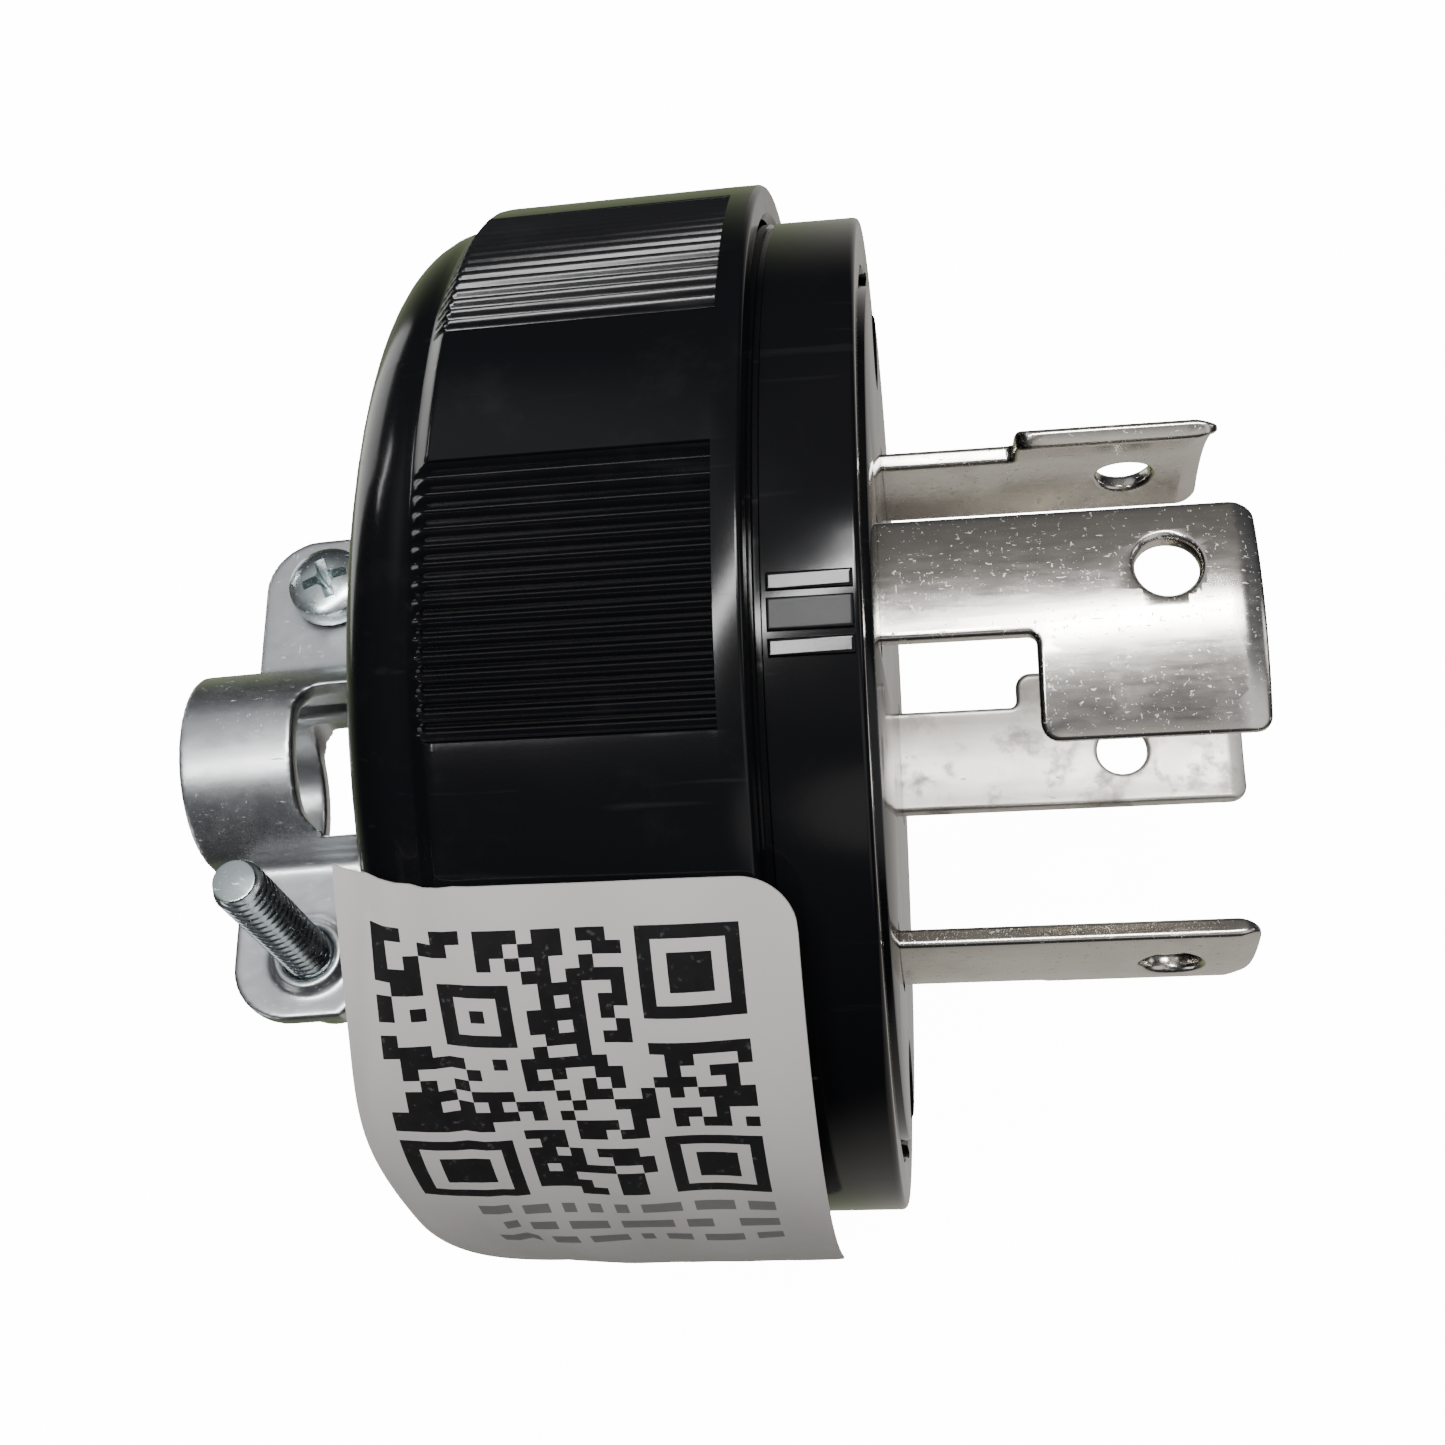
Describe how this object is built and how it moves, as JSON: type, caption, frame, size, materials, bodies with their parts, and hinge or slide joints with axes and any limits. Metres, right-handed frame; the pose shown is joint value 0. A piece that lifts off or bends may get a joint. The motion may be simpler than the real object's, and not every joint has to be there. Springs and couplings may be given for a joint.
{
  "type": "locking plug",
  "caption": "Round black twist-lock power plug with curved hooked blades, a ribbed cap and a two-piece metal cord clamp with screws.",
  "frame": {"origin": "centre of the mating face (the insert's raised central disc), on the plug's axis", "axes": "+X along the plug's axis towards the blade tips, +Z the way the upper clamp half opens, through the middle of blade 1"},
  "size_m": [0.0589, 0.0575, 0.057],
  "materials": {
    "cap": "moulded black nylon, semi-gloss",
    "insert": "moulded black nylon, satin",
    "barrier": "moulded black nylon, matt",
    "blade": "nickel-plated brass, fine scratches",
    "screw": "zinc-plated steel",
    "clamp_sheet": "zinc-plated sheet steel, satin",
    "nut": "plain brass",
    "label": "white film with a printed grey pattern"
  },
  "bodies": {
    "front": {"blade_holder": "insert", "blade_1": "blade", "blade_2": "blade", "blade_3": "blade", "blade_4": "blade", "terminal_barrier": "barrier"},
    "housing": {"cap": "cap", "assembly_nut_1": "nut", "assembly_nut_2": "nut", "code_label": "label"},
    "assembly_screw_1": {"assembly_screw_1": "screw"},
    "assembly_screw_2": {"assembly_screw_2": "screw"},
    "clamp_upper": {"cord_clamp_upper": "clamp_sheet"},
    "clamp_lower": {"cord_clamp_lower": "clamp_sheet"},
    "clamp_screw_1": {"clamp_screw_1": "screw"},
    "clamp_screw_2": {"clamp_screw_2": "screw"},
    "terminal_plate_1": {"terminal_plate_1": "blade"},
    "terminal_screw_1": {"terminal_screw_1": "screw"},
    "terminal_plate_2": {"terminal_plate_2": "blade"},
    "terminal_screw_2": {"terminal_screw_2": "screw"},
    "terminal_plate_3": {"terminal_plate_3": "blade"},
    "terminal_screw_3": {"terminal_screw_3": "screw"},
    "terminal_plate_4": {"terminal_plate_4": "blade"},
    "terminal_screw_4": {"terminal_screw_4": "screw"}
  },
  "joints": [
    {"name": "cap_draw", "type": "slide", "parent": "front", "child": "housing", "axis": [-1, 0, 0], "range_m": [0, 0.005]},
    {"name": "assembly_screw_1_turn", "type": "hinge", "parent": "front", "child": "assembly_screw_1", "pos_m": [-0.0029, -0.0193, -0.009], "axis": [1, 0, 0], "range_deg": [0, 3601]},
    {"name": "assembly_screw_2_turn", "type": "hinge", "parent": "front", "child": "assembly_screw_2", "pos_m": [-0.0029, 0.0193, 0.009], "axis": [1, 0, 0], "range_deg": [0, 3601]},
    {"name": "clamp_upper_slide", "type": "slide", "parent": "housing", "child": "clamp_upper", "axis": [0, 0, 1], "range_m": [-0.0002, 0.0025]},
    {"name": "clamp_lower_slide", "type": "slide", "parent": "housing", "child": "clamp_lower", "axis": [0, 0, -1], "range_m": [-0.0002, 0.0025]},
    {"name": "clamp_screw_1_turn", "type": "hinge", "parent": "clamp_upper", "child": "clamp_screw_1", "pos_m": [-0.03216, 0.00869, 0.002], "axis": [0, 0, 1], "range_deg": [-241, 3001]},
    {"name": "clamp_screw_2_turn", "type": "hinge", "parent": "clamp_lower", "child": "clamp_screw_2", "pos_m": [-0.03123, -0.01349, -0.002], "axis": [0, 0, -1], "range_deg": [-241, 3001]},
    {"name": "terminal_plate_1_lift", "type": "slide", "parent": "front", "child": "terminal_plate_1", "axis": [-1, 0, 0], "range_m": [0, 0.0024]},
    {"name": "terminal_screw_1_turn", "type": "hinge", "parent": "terminal_plate_1", "child": "terminal_screw_1", "pos_m": [-0.0126, 0, 0.018], "axis": [-1, 0, 0], "range_deg": [0, 1441]},
    {"name": "terminal_plate_2_lift", "type": "slide", "parent": "front", "child": "terminal_plate_2", "axis": [-1, 0, 0], "range_m": [0, 0.0024]},
    {"name": "terminal_screw_2_turn", "type": "hinge", "parent": "terminal_plate_2", "child": "terminal_screw_2", "pos_m": [-0.0126, 0.01796, 0.00126], "axis": [-1, 0, 0], "range_deg": [0, 1441]},
    {"name": "terminal_plate_3_lift", "type": "slide", "parent": "front", "child": "terminal_plate_3", "axis": [-1, 0, 0], "range_m": [0, 0.0024]},
    {"name": "terminal_screw_3_turn", "type": "hinge", "parent": "terminal_plate_3", "child": "terminal_screw_3", "pos_m": [-0.0126, 0.00411, -0.01752], "axis": [-1, 0, 0], "range_deg": [0, 1441]},
    {"name": "terminal_plate_4_lift", "type": "slide", "parent": "front", "child": "terminal_plate_4", "axis": [-1, 0, 0], "range_m": [0, 0.0024]},
    {"name": "terminal_screw_4_turn", "type": "hinge", "parent": "terminal_plate_4", "child": "terminal_screw_4", "pos_m": [-0.0126, -0.018, -0.00031], "axis": [-1, 0, 0], "range_deg": [0, 1441]}
  ],
  "couplings": [
    {"joint": "assembly_screw_1_turn", "follows": "cap_draw", "rad_per_m": 12566},
    {"joint": "assembly_screw_2_turn", "follows": "cap_draw", "rad_per_m": 12566},
    {"joint": "clamp_lower_slide", "follows": "clamp_upper_slide", "ratio": 1},
    {"joint": "clamp_screw_1_turn", "follows": "clamp_upper_slide", "rad_per_m": 20944},
    {"joint": "clamp_screw_2_turn", "follows": "clamp_upper_slide", "rad_per_m": 20944},
    {"joint": "terminal_screw_1_turn", "follows": "terminal_plate_1_lift", "rad_per_m": 10472},
    {"joint": "terminal_screw_2_turn", "follows": "terminal_plate_2_lift", "rad_per_m": 10472},
    {"joint": "terminal_screw_3_turn", "follows": "terminal_plate_3_lift", "rad_per_m": 10472},
    {"joint": "terminal_screw_4_turn", "follows": "terminal_plate_4_lift", "rad_per_m": 10472}
  ]
}
